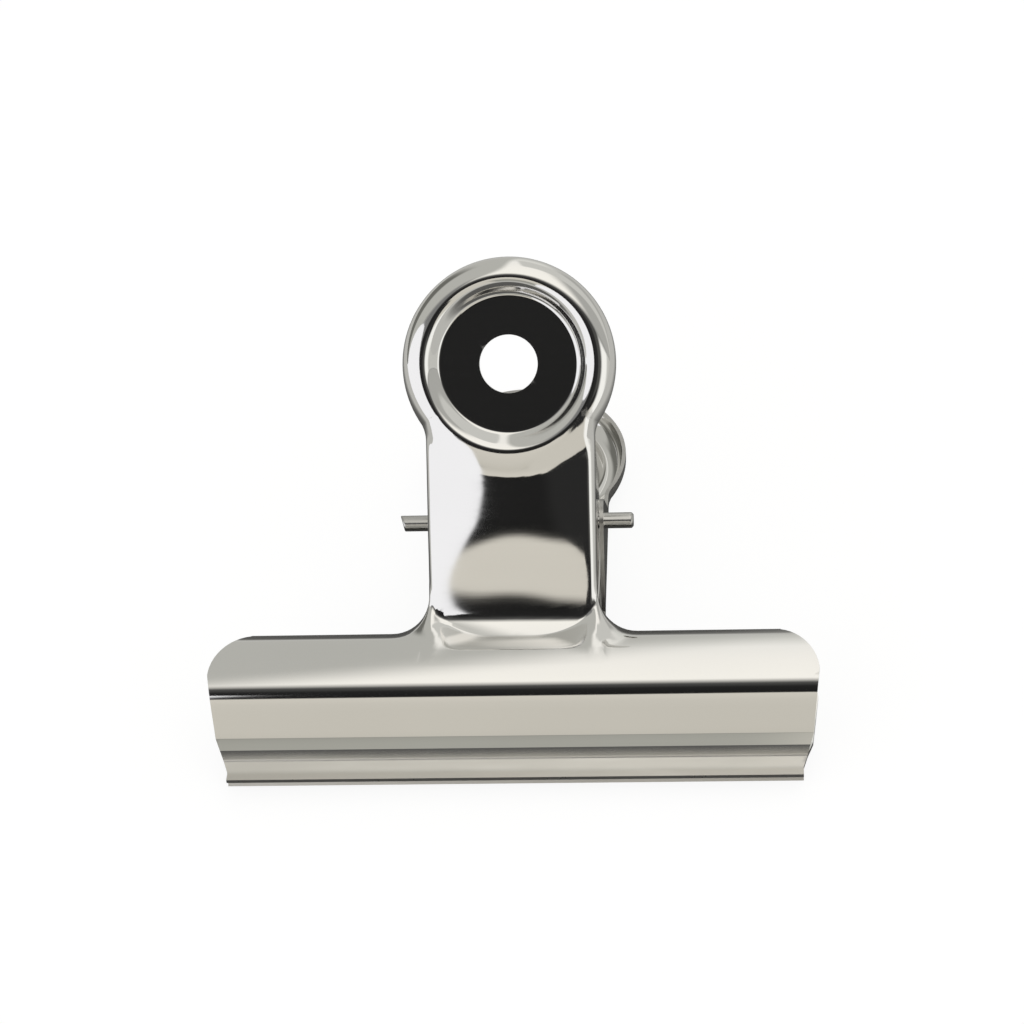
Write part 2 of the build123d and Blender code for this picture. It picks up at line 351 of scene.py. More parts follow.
def hollow_join(a, b, radius):
    """Joins two distances with a hollow round between them."""
    radius = np.maximum(radius, 1e-6)
    inner = np.hypot(np.maximum(radius - a, 0), np.maximum(radius - b, 0))
    return np.maximum(radius, np.minimum(a, b)) - inner


def rounded_chain(corners, radii, spacing):
    """Rounds the corners of a chain of plane points and spaces points along it."""
    corners = [np.array(corner, float) for corner in corners]
    chain = [corners[0]]
    for before, corner, after, radius in zip(corners, corners[1:], corners[2:], radii):
        back = (before - corner) / np.linalg.norm(before - corner)
        ahead = (after - corner) / np.linalg.norm(after - corner)
        half = math.acos(np.clip(back @ ahead, -1, 1)) / 2
        centre = corner + (back + ahead) / np.linalg.norm(back + ahead) * radius / math.sin(half)
        start = corner + back * radius / math.tan(half) - centre
        turn = math.pi - 2 * half
        side = np.sign(start[0] * ahead[1] - start[1] * ahead[0])
        steps = max(3, math.ceil(turn / math.radians(9)))
        for step in range(steps + 1):
            cosine, sine = turned(side * turn * step / steps)
            chain.append(centre + np.array(((cosine, -sine), (sine, cosine))) @ start)
    chain.append(corners[-1])
    points = [chain[0]]
    for a, b in zip(chain, chain[1:]):
        parts = max(1, math.ceil(np.linalg.norm(b - a) / spacing))
        points += [between(a, b, part / parts) for part in range(1, parts + 1)]
    return np.array(points)


class PlateShape:
    """The outer skin of one pressing: u runs across, s up the neck from the pin, n out of its face."""

    def __init__(self, sizes, half_width, bore_radius):
        vars(self).update(vars(sizes))
        self.half_width = half_width
        self.face_half = half_width - self.neck_bend
        self.bore_radius = bore_radius
        self.crest_radius = self.handle_radius - self.crest_round
        self.edge_depth = self.jaw_set_back + self.free_edge
        self.bulge_s = self.neck_foot - self.bulge_radius
        self.gusset_u = half_width + self.gusset_round
        self.gusset_s = self.neck_foot + self.gusset_round
        self.shoulder_u = half_width + self.shoulder_round
        reach = self.handle_radius + self.shoulder_round
        self.shoulder_s = self.handle_height - math.sqrt(reach**2 - self.shoulder_u**2)
        self.shoulder_angle = math.atan2(self.shoulder_s - self.handle_height, self.shoulder_u)
        self.pole = np.array((half_width + POLE_OUTSIDE, *self.bulge(JAW_START)))

    def clip_yz(self, s, n):
        """Turns a place on the plate into the clip's depth and height from the pin."""
        out = self.pin_to_face + n
        y = -s * math.sin(self.lean) - out * math.cos(self.lean)
        z = s * math.cos(self.lean) - out * math.sin(self.lean)
        return y, z

    def plate_sn(self, y, z):
        """Turns the clip's depth and height from the pin into a place on the plate."""
        s = -y * math.sin(self.lean) + z * math.cos(self.lean)
        n = -y * math.cos(self.lean) - z * math.sin(self.lean) - self.pin_to_face
        return s, n

    def bulge(self, turn):
        """Gives the bulge's place where its face has turned this far from the neck's upward way."""
        s = self.bulge_s + self.bulge_radius * np.cos(turn)
        return s, -self.jaw_set_back + self.bulge_radius * np.sin(turn)

    def neck_level(self, u, s):
        """Gives the neck face's own gentle shape: crowned across, and sinking towards the jaw."""
        across = np.clip(np.abs(u) / self.face_half, 0, FACE_OVERRUN)
        lowered = smooth((CROWN_START - s) / CROWN_RUN)
        crown = between(self.neck_crown, self.foot_crown, lowered)
        pinch = PINCH_DEPTH * np.maximum(1 - (across / PINCH_WIDTH) ** 2, 0) ** 2
        sag = self.neck_sag * smooth((pinch + SAG_START - s) / self.sag_length)
        run = np.clip(self.curl_top - s, 0, CURL_REACH * self.foot_round)
        curl = self.foot_round - np.sqrt(self.foot_round**2 - run**2)
        return crown * (1 - across**2) - sag + curl

    def foot_lift(self, u):
        """Gives the slant of the jaw's top where it climbs to the neck's foot, as a turn of the bulge."""
        across = np.abs(u) / self.face_half
        slant = between(LIFT_MIDDLE, self.foot_slant, smooth(across / LIFT_WIDTH))
        return slant * (1 - smooth((across - 1) / LIFT_FADE))

    def jaw_gap(self, u, s, n):
        """Gives the signed distance from the jaw alone, and how much its skin faces outward there."""
        up, out = s - self.bulge_s, n + self.jaw_set_back
        turn = np.arctan2(out, up)
        slant = np.maximum(turn, self.foot_lift(u))
        return up * np.cos(slant) + out * np.sin(slant) - self.bulge_radius, np.sin(slant)

    def jaw_point(self, u, turn):
        """Gives the place on the jaw alone at a turn round the bulge's middle."""
        reach = self.bulge_radius / np.cos(np.maximum(self.foot_lift(u) - turn, 0))
        up, out = reach * np.cos(turn), reach * np.sin(turn)
        return np.stack((u, self.bulge_s + up, out - self.jaw_set_back), -1)

    def under_crease(self, crease, u, share):
        """Gives a place on the jaw, a share of the way from the foot's crease to the jaw's grid."""
        turn = np.arctan2(crease[..., 2] + self.jaw_set_back, crease[..., 1] - self.bulge_s)
        return self.jaw_point(u, between(turn, JAW_START, share))

    def foot_crease(self, u):
        """Finds the height where the curl of the neck's foot meets the jaw."""
        low = np.full_like(u, self.neck_foot - 2)
        high = np.full_like(u, self.curl_top + 2)
        for _ in range(40):
            middle = (low + high) / 2
            inside = self.jaw_gap(u, middle, self.neck_level(u, middle))[0] < 0
            low = np.where(inside, middle, low)
            high = np.where(inside, high, middle)
        return low

    def gap(self, point):
        """Gives the signed distance from the skin of handle, neck and jaw, with hollow rounds between."""
        u, s, n = point[..., 0], point[..., 1], point[..., 2]
        r = np.hypot(u, s - self.handle_height)
        crest = n - self.crest_height + self.crest_round
        cup, cup_r, cup_n = round_corner(r - self.crest_radius, crest, self.crest_round)
        side = np.abs(u) - self.face_half
        collar_r = self.crest_radius + self.crest_round * math.sin(self.collar_slope)
        collar_n = self.crest_height - self.crest_round * (1 - math.cos(self.collar_slope))
        run = np.abs(r - collar_r) / ((collar_n - self.neck_crown) / math.tan(self.collar_slope))
        neck = self.neck_level(u, s)
        fall = (collar_n - np.minimum(neck, self.neck_crown)) * run
        collar = (n - collar_n + fall) * math.cos(self.collar_slope)
        level = hollow_join(n - neck, collar, COLLAR_HOLLOW)
        bar, bar_u, bar_n = round_corner(side, level + self.neck_bend, self.neck_bend)
        facing = cup_r * np.abs(u) / np.maximum(r, 1e-6) * bar_u + cup_n * bar_n
        upper = hollow_join(cup, bar, self.shoulder_round * (1 - facing))
        jaw, jaw_n = self.jaw_gap(u, s, n)
        ending = smooth((np.abs(u) - self.half_width) / GUSSET_START + 1)
        foot = between(CREASE_HOLLOW, self.gusset_round, ending)
        skin = hollow_join(upper, jaw, foot * (1 - jaw_n * bar_n))

        # The gussets end at their hollow outline
        aside = np.maximum(self.gusset_u - np.abs(u), 0)
        below = np.maximum(self.gusset_s - s, 0)
        beyond = self.gusset_round - np.hypot(aside, below)
        soft = GUSSET_SOFT * aside * below / np.maximum(aside**2 + below**2, 1e-6)
        kept = -hollow_join(-skin, -beyond, soft)
        return np.where(s < self.gusset_s + self.gusset_round, kept, skin)

    def slope(self, point):
        """Gives the way out of the skin."""
        step = 1e-4
        rises = [self.gap(point + shift) - self.gap(point - shift) for shift in step * np.eye(3)]
        return np.stack(rises, -1) / (2 * step)

    def settle(self, point, rounds=8):
        """Moves points onto the skin."""
        least_slope, longest = 0.05, 0.6
        for _ in range(rounds):
            slope = self.slope(point)
            size = np.maximum((slope**2).sum(-1, keepdims=True), least_slope)
            stride = np.clip(self.gap(point), -longest, longest)
            point = point - stride[..., None] * slope / size
        return point

    def polar(self, radius, turn, level):
        """Places points round the handle's middle."""
        radius, turn, level = np.broadcast_arrays(radius, turn, level)
        across, up = np.moveaxis(turned(turn), -1, 0)
        return np.stack((radius * across, self.handle_height + radius * up, level), -1)

    def spokes(self):
        """Gives the angles of the handle's spokes under the shoulder and over it."""
        low = np.linspace(-math.pi / 2, self.shoulder_angle, FACE_COLUMNS + 1)
        high = np.linspace(self.shoulder_angle, math.pi / 2, RIM_COLUMNS + 1)
        return low, high

    def dish(self):
        """Lays rings from the crest over the wall to the hole."""
        centre_n = self.crest_height - self.dish_round
        crest = np.linspace(0, self.wall_slope, CREST_RINGS)
        over = np.stack((self.crest_radius - self.dish_round * np.sin(crest),
                         centre_n + self.dish_round * np.cos(crest)), -1)
        run = (over[-1, 1] - self.dish_level) / math.tan(self.wall_slope)
        corner_r = over[-1, 0] - run - self.dish_corner * math.tan(self.wall_slope / 2)
        corner = np.linspace(self.wall_slope, 0, CORNER_RINGS)
        bottom = np.stack((corner_r + self.dish_corner * np.sin(corner),
                           self.dish_level + self.dish_corner * (1 - np.cos(corner))), -1)
        wall = [between(over[-1], bottom[0], share) for share in WALL_SHARES]
        floor_r = between(corner_r, self.hole_radius, FLOOR_SHARES)
        floor = np.stack((floor_r, np.full(len(floor_r), self.dish_level)), -1)
        profile = np.concatenate((over, wall, bottom, floor))
        low, high = self.spokes()
        around = np.concatenate((low, high[1:]))
        return self.polar(profile[:, :1], around[None], profile[:, 1:])

    def flange(self, outer, inward, radius, top, depth):
        """Runs from the face over the bend and down to the rim's edge, at places along the outline."""
        rows = []
        for turn in np.linspace(0, math.pi / 2, BEND_STEPS + 1):
            place = outer + inward * (radius * (1 - math.sin(turn)))[:, None]
            rows.append(np.column_stack((place, top - radius * (1 - math.cos(turn)))))
        for step in range(1, WALL_STEPS + 1):
            rows.append(np.column_stack((outer, between(top - radius, -depth, step / WALL_STEPS))))
        return np.stack(rows)

    def rim(self):
        """Turns the handle's rim down."""
        way = turned(self.spokes()[1][::-1])
        outer = (0, self.handle_height) + self.handle_radius * way
        sizes = (self.crest_round, self.crest_height, self.rim_depth)
        return self.flange(outer, -way, *(np.full(len(way), size) for size in sizes))

    def side_strip(self):
        """Follows the outline from the shoulder down the neck into the gusset."""
        shoulder = turned(np.linspace(math.pi + self.shoulder_angle, math.pi, COLLAR_ROWS + 1))
        side_s = np.append(self.ear_head, np.linspace(self.ear_head, self.gusset_s, NECK_ROWS)[1:])
        gusset = turned(np.linspace(math.pi, 1.25 * math.pi, FOOT_ROWS + 1)[1:])
        outer = np.concatenate((
            (self.shoulder_u, self.shoulder_s) + self.shoulder_round * shoulder,
            np.stack((np.full(len(side_s), self.half_width), side_s), -1),
            (self.gusset_u, self.gusset_s) + self.gusset_round * gusset,
        ))
        inward = np.concatenate((shoulder, np.tile((-1.0, 0.0), (len(side_s), 1)), gusset))
        travelled = np.append(0, np.cumsum(np.linalg.norm(np.diff(outer, axis=0), axis=1)))
        eased = smooth(travelled / BEND_EASE)
        radius = between(self.crest_round, self.neck_bend, eased)
        depth = np.interp(outer[:, 1], (self.gusset_s, self.ear_head), (self.edge_depth, self.rim_depth))
        strip = self.flange(outer, inward, radius, self.crest_height * (1 - eased), depth)

        # The inner edge runs down to the end of the foot's crease, then over the jaw to its grid
        start = strip[0, NECK_END].copy()
        corner = np.array((self.half_width - CREASE_END * self.neck_bend, 0, 0))
        corner[1] = self.foot_crease(corner[:1])[0]
        corner[2] = self.neck_level(corner[0], corner[1])
        inner = [between(start, corner, share) for share in CURL_SHARES]
        for share in UNDER_SHARES:
            inner.append(self.under_crease(corner, between(corner[0], self.pole[0], share), share))
        last_row = len(strip) - 1
        for column, place in enumerate(inner, NECK_END + 1):
            strip[0, column] = place
            for row in range(1, last_row):
                strip[row, column] = between(place, strip[last_row, column], row / last_row)
        strip[:-1] = self.settle(strip[:-1])
        loose = np.zeros(strip.shape[:2], bool)
        loose[:-1, 1:] = True
        return strip, loose

    def face(self, strip):
        """Fills the collar, the neck's face and its foot between the middle line and the side strip."""
        rows = strip.shape[1]
        foot_top = self.curl_top + FOOT_TOP
        crease_row = NECK_END + len(CURL_SHARES)
        crease_s = self.foot_crease(np.zeros(1))
        collar = np.linspace(0, COLLAR_LENGTH, COLLAR_ROWS + 1)
        middle_s = self.handle_height - self.crest_radius - collar
        neck_s = np.linspace(middle_s[-1], foot_top, NECK_ROWS + 1)[1:]
        curl_s = between(foot_top, crease_s, CURL_SHARES)
        under_s = between(crease_s, self.pole[1], UNDER_SHARES)
        middle = np.zeros((rows, 3))
        middle[:, 1] = np.concatenate((middle_s, neck_s, curl_s, under_s))
        middle[crease_row + 1 :, 2] = self.pole[2] * UNDER_SHARES
        middle[: COLLAR_ROWS + 1, 2] = self.crest_height / 2
        across = np.linspace(0, 1, FACE_COLUMNS + 1)[None, :, None]
        block = between(middle[:, None], strip[0][:, None], across)
        top_edge = self.polar(self.crest_radius, self.spokes()[0], self.crest_height)
        bow = top_edge - between(top_edge[0], top_edge[-1], across[0])
        fade = 1 - smooth(np.arange(rows) / (COLLAR_ROWS + BOW_ROWS))
        block += bow[None] * fade[:, None, None]
        block[0] = top_edge
        block[-1] = self.pole * (1, 0, 0) * across[0] + self.pole * (0, 1, 1)

        # Rows near the foot follow the crease
        for row in range(NECK_END + 1, rows - 1):
            u = block[row, :, 0]
            crease_s = self.foot_crease(u)
            crease = np.stack((u, crease_s, self.neck_level(u, crease_s)), -1)
            if row > crease_row:
                goal = self.under_crease(crease, u, UNDER_SHARES[row - crease_row - 1])
            else:
                s = between(block[NECK_END, :, 1], crease_s, CURL_SHARES[row - NECK_END - 1])
                goal = np.stack((u, s, self.neck_level(u, s)), -1)
            block[row, :-1] = goal[:-1]
        block[1:-1, :-1] = self.settle(block[1:-1, :-1])
        block[:, 0, 0] = 0

        # All but the edges may slide, and of the crease only its outer end
        loose = np.zeros(block.shape[:2], bool)
        loose[1:-1, 1:-1] = True
        loose[crease_row - 1 : crease_row + 2, :-3] = False
        return block[::-1], loose[::-1]

    def jaw_profile(self):
        """Gives places down the jaw, from its grid's start to the flared edge, and two of its corners."""

        def along(point, slope, run):
            return point[0] + run * math.sin(slope), point[1] - run * math.cos(slope)

        turns = np.linspace(JAW_START, self.face_slope + math.pi / 2 - self.lean, BULGE_ROWS)
        round_part = np.stack(self.bulge(turns), -1)
        bulge_end = self.clip_yz(*round_part[-1])
        fold_depth = self.fold_length * math.sin(self.fold_slope)
        step_depth = self.step_length * math.sin(self.step_slope)
        crease_y = -self.lip_gap / 2 - self.sheet - fold_depth - step_depth
        crease = along(bulge_end, self.face_slope, (crease_y - bulge_end[0]) / math.sin(self.face_slope))
        fold = along(crease, self.fold_slope, self.fold_length)
        lip_top = along(fold, self.step_slope, self.step_length)
        lip_foot = along(lip_top, 0, self.lip_length)
        lip_end = along(lip_foot, -self.flare_slope, self.flare_length)
        corners = (bulge_end, crease, fold, lip_top, lip_foot, lip_end)
        radii = (self.crease_round, self.crease_round, self.step_round, self.flare_round)
        chain = rounded_chain(corners, radii, JAW_SPACING)
        lower = np.stack(self.plate_sn(chain[:, 0], chain[:, 1]), -1)
        return np.concatenate((round_part, lower[1:])), crease, lip_foot

    def draw_in(self, block, crease, lip_foot):
        """Draws the jaw's ends in to its round upper corners and its taper."""
        half = self.jaw_width / 2
        start = half - DRAW_IN_REACH * self.jaw_corner
        z = self.clip_yz(block[..., 1], block[..., 2])[1]
        middle = self.clip_yz(self.bulge_s, -self.jaw_set_back)[1]
        left = self.jaw_corner - np.clip(self.neck_foot - block[..., 1], 0, self.jaw_corner)
        corner = half - self.jaw_corner + np.sqrt(np.maximum(self.jaw_corner**2 - left**2, 0))
        heights = (lip_foot[1], crease[1], middle)
        taper = np.interp(z, heights, (half - self.lip_inset, half - self.crease_inset, half))
        share = np.clip((block[..., 0] - start) / (half - start), 0, 1)
        drawn = between(start, np.minimum(corner, taper), share)
        block[..., 0] = np.where(block[..., 0] > start, drawn, block[..., 0])

    def jaw(self, strip):
        """Builds the jaw's upper edge from the gusset outwards, and its face down to the flared edge."""
        gusset = turned(np.linspace(1.25 * math.pi, 1.5 * math.pi, GUSSET_COLUMNS + 1))
        tail = np.linspace(self.gusset_u, self.jaw_width / 2, SIDE_COLUMNS + 1)[1:]
        outer = np.concatenate((
            (self.gusset_u, self.gusset_s) + self.gusset_round * gusset,
            np.stack((tail, np.full(len(tail), self.neck_foot)), -1),
        ))
        inner_u = outer[:, 0].copy()
        inner_u[: GUSSET_COLUMNS + 1] = np.linspace(self.pole[0], self.gusset_u, GUSSET_COLUMNS + 1)
        steps = BEND_STEPS + WALL_STEPS
        edge = np.zeros((steps + 1, len(outer), 3))
        for row in range(steps + 1):
            share = row / steps
            u = between(inner_u, outer[:, 0], share)
            edge[row] = self.jaw_point(u, JAW_START * max(1 - row / BEND_STEPS, 0))
            climb = outer[:, 1] - self.neck_foot - (edge[row, :, 1] - self.neck_foot) * (row >= BEND_STEPS)
            edge[row, :, 1] += climb * smooth(share)
            edge[row, :, 2] -= self.free_edge * max(row - BEND_STEPS, 0) / WALL_STEPS
        edge[:, 0] = strip[:, -1]
        near = slice(1, GUSSET_COLUMNS + SETTLED_COLUMNS)
        edge[1:-1, near] = self.settle(edge[1:-1, near])
        loose = np.zeros(edge.shape[:2], bool)
        loose[1:-1, near] = True
        profile, crease, lip_foot = self.jaw_profile()
        face_u = self.pole[0] * np.linspace(0, 1, FACE_COLUMNS + 1)
        across = np.concatenate((face_u, inner_u[1:]))
        face = np.zeros((len(profile), len(across), 3))
        face[..., 0] = across
        face[..., 1:] = profile[:, None]
        self.draw_in(edge, crease, lip_foot)
        self.draw_in(face, crease, lip_foot)
        return edge, loose, face[::-1]

    def ear_edge(self):
        """Gives the ear's free edge from its foot round the lobe to its head."""
        foot = np.array((self.gusset_s, -self.edge_depth))
        head = np.array((self.ear_head, -self.rim_depth))
        centre = np.array((0.0, -self.pin_to_face))

        def touch(point, side):
            way = point - centre
            return math.atan2(way[1], way[0]) + side * math.acos(self.ear_radius / np.linalg.norm(way))

        first = touch(foot, 1)
        last = touch(head, -1) + 2 * math.pi
        if last - first > 2 * math.pi:
            last -= 2 * math.pi
        lobe = centre + self.ear_radius * turned(np.linspace(first, last, EAR_EDGE_STEPS // 2 + 1))
        lead = EAR_EDGE_STEPS // 4
        tail = EAR_EDGE_STEPS - EAR_EDGE_STEPS // 2 - lead
        start = between(foot, lobe[0], np.linspace(0, 1, lead + 1)[:-1, None])
        end = between(lobe[-1], head, np.linspace(0, 1, tail + 1)[1:, None])
        return np.concatenate((start, lobe, end))

    def ear(self, strip):
        """Fills the ear with rings, from its outline to the pin's bore."""
        rim_line = strip[-1, COLLAR_ROWS + 1 : NECK_END + 1]
        edge = self.ear_edge()[1:-1]
        loop = np.concatenate((rim_line, np.column_stack((np.full(len(edge), self.half_width), edge))))
        around = turned(np.arctan2(loop[:, 2] + self.pin_to_face, loop[:, 1]))
        bore = np.column_stack((np.full(len(loop), self.half_width), self.bore_radius * around))
        bore[:, 2] -= self.pin_to_face
        shares = 1 - (1 - np.linspace(0, 1, EAR_STEPS + 1)) ** EAR_CROWDING
        rings = np.stack([between(loop, bore, share) for share in shares])
        return np.concatenate((rings, rings[:, :1]), 1)

    def blocks(self):
        """Builds the half with u above 0 as blocks of grid points, each with the points that may slide."""
        strip, strip_loose = self.side_strip()
        face, face_loose = self.face(strip)
        edge, edge_loose, jaw_face = self.jaw(strip)
        fixed = [self.dish(), self.rim(), jaw_face, self.ear(strip)]
        blocks = [(block, np.zeros(block.shape[:2], bool)) for block in fixed]
        return blocks + [(strip, strip_loose), (face, face_loose), (edge, edge_loose)]

    def mesh(self):
        """Welds the blocks and their mirror image into square faces, and evens the loose points."""
        points, loose, faces, count = [], [], [], 0
        for block, free in self.blocks():
            rows, columns = block.shape[:2]
            index = count + np.arange(rows * columns).reshape(rows, columns)
            corners = (index[:-1, :-1], index[:-1, 1:], index[1:, 1:], index[1:, :-1])
            points.append(block.reshape(-1, 3))
            loose.append(free.reshape(-1))
            faces.append(np.stack(corners, -1).reshape(-1, 4))
            count += rows * columns
        points = np.concatenate(points)
        faces = np.concatenate(faces)
        points = np.concatenate((points, points * (-1, 1, 1)))
        faces = np.concatenate((faces, faces[:, ::-1] + count))
        loose = np.concatenate(loose * 2)

        # Points in one cell are welded, and the shift keeps the middle line off the cells' edges
        weld, shift = 2e-4, 0.37
        keys = np.floor(points / weld + shift).astype(np.int64)
        _, first, which = np.unique(keys, axis=0, return_index=True, return_inverse=True)
        which = which.reshape(-1)
        free = np.ones(len(first), bool)
        np.logical_and.at(free, which, loose)
        points, faces = points[first], which[faces]

        # Loose points move halfway to their neighbours' middle, then back onto the skin
        pairs = np.concatenate([faces[:, [side, (side + 1) % 4]] for side in range(4)])
        pairs = np.unique(np.sort(pairs, 1), axis=0)
        uses = np.bincount(pairs.reshape(-1), minlength=len(points))[:, None]
        for _ in range(EVEN_ROUNDS):
            mean = np.zeros_like(points)
            np.add.at(mean, pairs[:, 0], points[pairs[:, 1]])
            np.add.at(mean, pairs[:, 1], points[pairs[:, 0]])
            halfway = (points[free] + mean[free] / uses[free]) / 2
            points[free] = self.settle(halfway, rounds=3)
        return points, faces


def rest_tilt(lean):
    """Gives the tilt of the clip's middle plane as it lies on its back, from the front hole's axis."""
    mounts = {mount["name"]: mount for mount in frame["record"]["mounts"]}
    _, along, up = mounts["hang_hole_front"]["axis"]
    return math.atan2(-along, up) - lean


def laid_down(points, tilt):
    """Lays points of the clip, in millimetres from the pin, on the floor, in metres."""
    x, y, z = np.moveaxis(points, -1, 0)
    along = y * math.sin(tilt) + z * math.cos(tilt)
    up = z * math.sin(tilt) - y * math.cos(tilt)
    return np.stack((x, along, up), -1) * MM + PIN_CENTRE


def add_object(name, data):
    """Adds an object to the scene."""
    added = bpy.data.objects.new(name, data)
    bpy.context.scene.collection.objects.link(added)
    return added


def add_piece(name, points, faces, material):
    """Makes a smooth mesh piece that stands for its part of the clip."""
    mesh = bpy.data.meshes.new(name)
    mesh.from_pydata(points.tolist(), [], [list(map(int, face)) for face in faces])
    mesh.polygons.foreach_set("use_smooth", [True] * len(mesh.polygons))
    mesh.materials.append(material)
    piece = add_object(name, mesh)
    return piece


def add_field(piece, name, values):
    """Keeps a value or a vector for each point of a piece, for its material."""
    kind, key = ("FLOAT", "value") if values.ndim == 1 else ("FLOAT_VECTOR", "vector")
    field = piece.data.attributes.new(name, kind, "POINT")
    field.data.foreach_set(key, values.astype(np.float32).reshape(-1))


def corner_turns(points, faces):
    """Gives the turn of each face at its four corners, as vectors out of the face."""
    corners = points[faces]
    ahead = np.roll(corners, -1, 1) - corners
    back = np.roll(corners, 1, 1) - corners
    return np.cross(ahead, back)


def sheet_shares(points, faces, sheet):
    """Gives each point's share of the sheet's thickness, less where the inner side would fold."""
    turns = corner_turns(points, faces)
    ways = np.zeros_like(points)
    np.add.at(ways, faces.reshape(-1), turns.reshape(-1, 3))
    ways /= np.linalg.norm(ways, axis=1, keepdims=True)
    out = turns.sum(1, keepdims=True)
    least = LEAST_CORNER * (turns * out).sum(-1)
    uses = np.bincount(faces.reshape(-1), minlength=len(points))
    shares = np.ones(len(points))
    for _ in range(40):
        inner = points - ways * (sheet * shares)[:, None]
        folded = ((corner_turns(inner, faces) * out).sum(-1) < least).any(1)
        shares[np.unique(faces[folded])] *= THINNING
        spread = np.zeros(len(points))
        np.add.at(spread, faces.reshape(-1), np.repeat(shares[faces].mean(1), 4))
        shares = np.minimum(shares, spread / uses)
        if not folded.any():
            break
    return shares


def add_plate(name, shape, turn_back, tilt, material, edge_material):
    """Presses one plate out of sheet, with softened edges."""
    points, faces = shape.mesh()
    y, z = shape.clip_yz(points[:, 1], points[:, 2])
    lip_top = shape.jaw_profile()[2][1] + shape.lip_length
    clip = np.stack((points[:, 0], y, z), -1)
    if turn_back:
        clip *= (-1, -1, 1)
    piece = add_piece(name, laid_down(clip, tilt), faces, material)
    piece.data.materials.append(edge_material)
    # Marks the lips, for their rubbed roughness and their painted shade
    add_field(piece, RUBBED_AND_SHADED, smooth((lip_top + RUBBED_AND_SHADED_RISE - z) / RUBBED_AND_SHADED_FADE))
    group = piece.vertex_groups.new(name="sheet")
    for index, share in enumerate(sheet_shares(points, faces, shape.sheet)):
        group.add([index], share, "REPLACE")
    sheet = piece.modifiers.new("sheet", "SOLIDIFY")
    sheet.thickness = shape.sheet * MM
    sheet.offset = -1
    sheet.use_quality_normals = True
    sheet.vertex_group = group.name
    sheet.material_offset_rim = 1
    edge = piece.modifiers.new("sheared_edge", "BEVEL")
    edge.width = EDGE_WIDTH * MM
    edge.segments = 2
    edge.limit_method = "ANGLE"
    edge.angle_limit = EDGE_ANGLE
    edge.harden_normals = True
    return piece


def ring_faces(rings, around):
    """Joins rings of points into square faces, with a face over each end."""
    index = np.arange(rings * around).reshape(rings, around)
    after = np.roll(index, -1, 1)
    sides = np.stack((index[:-1], after[:-1], after[1:], index[1:]), -1).reshape(-1, 4)
    return [*sides, index[0, ::-1], index[-1]]


def wheel(around):
    """Gives even angles all round."""
    return np.arange(around) * 2 * math.pi / around


def pin_mesh(sizes):
    """Turns the pin, with one end sheared at a slant and the other chamfered."""
    radius, chamfer, half = sizes.pin_radius, sizes.pin_chamfer, sizes.pin_length / 2
    turn = wheel(PIN_AROUND)

    # Each end as runs in from it and radii, and the plain part as places along the pin
    sheared = ((0, 0.02), (0, 0.5), (0, radius - 0.14), (0.03, radius - 0.05), (0.1, radius), (0.3, radius))
    plain = (-half + 1.2, -half / 3, half / 3, half - chamfer - 0.25, half - chamfer - 0.04)
    neat = (
        (chamfer - 0.03, radius - 0.03),
        (0.03, radius - chamfer + 0.03),
        (0, radius - chamfer - 0.04),
        (0, 0.4),
        (0, 0.02),
    )
    stations = [(run - half, size, math.tan(sizes.pin_shear)) for run, size in sheared]
    stations += [(place, radius, 0) for place in plain]
    stations += [(half - run, size, 0) for run, size in neat]
    rings = []
    for place, size, slant in stations:
        across, up = size * np.cos(turn), size * np.sin(turn)
        rings.append(np.stack((place + slant * (radius - up), across, up), -1))
    return np.concatenate(rings), ring_faces(len(rings), PIN_AROUND)


def spring_line(shape, sizes):
    """Draws the wire's middle line: a leg down the front plate, the turns, and a leg up the back plate."""
    press_n = -shape.sheet - sizes.leg_gap - sizes.wire_radius
    heel = shape.clip_yz(sizes.leg_heel, press_n)
    toe = shape.clip_yz(sizes.leg_heel + sizes.leg_foot, press_n)
    first = math.atan2(heel[1], heel[0]) + math.acos(sizes.coil_radius / math.hypot(*heel))
    last = math.pi - first + 2 * math.pi * (sizes.coil_turns + 1)
    half_length = sizes.coil_pitch * (last - first) / (4 * math.pi)
    corners = (toe, heel, sizes.coil_radius * turned(first))
    leg = rounded_chain(corners, (sizes.leg_bend,), WIRE_SPACING)
    steps = round((last - first) / WIRE_TURN)
    turns = np.linspace(first, last, steps + 1)
    coil_u = np.linspace(-half_length, half_length, steps + 1)
    coil = np.column_stack((coil_u, sizes.coil_radius * turned(turns)))
    leg_in = np.column_stack((np.full(len(leg), -half_length), leg))
    leg_out = leg_in[::-1] * (-1, -1, 1)
    return np.concatenate((leg_in[:-1], coil, leg_out[1:])), half_length


def tube_mesh(line, radius, around):
    """Runs a round tube along a line, with softly cut ends."""
    ways = np.gradient(line, axis=0)
    ways /= np.linalg.norm(ways, axis=1, keepdims=True)
    side = np.cross(ways[0], (1.0, 0.0, 0.0))
    turn = wheel(around)
    rings = []

    def ring(centre, way, side, size):
        other = np.cross(way, side)
        return centre + size * (np.cos(turn)[:, None] * side + np.sin(turn)[:, None] * other)

    soft = WIRE_END * radius
    end_sizes = (0.03, 0.6 * radius, radius - soft)
    for index, (centre, way) in enumerate(zip(line, ways)):
        side = side - way * (side @ way)
        side /= np.linalg.norm(side)
        if index == 0:
            rings += [ring(centre - way * soft, way, side, size) for size in end_sizes]
        rings.append(ring(centre, way, side, radius))
        if index == len(line) - 1:
            rings += [ring(centre + way * soft, way, side, size) for size in end_sizes[::-1]]
    strides = np.diff([points.mean(0) for points in rings], axis=0)
    run = np.append(0, np.cumsum(np.linalg.norm(strides, axis=1)))
    circle = np.tile(radius * turned(turn), (len(rings), 1))
    grain = np.column_stack((np.repeat(run, around), circle)) * MM
    return np.concatenate(rings), ring_faces(len(rings), around), grain


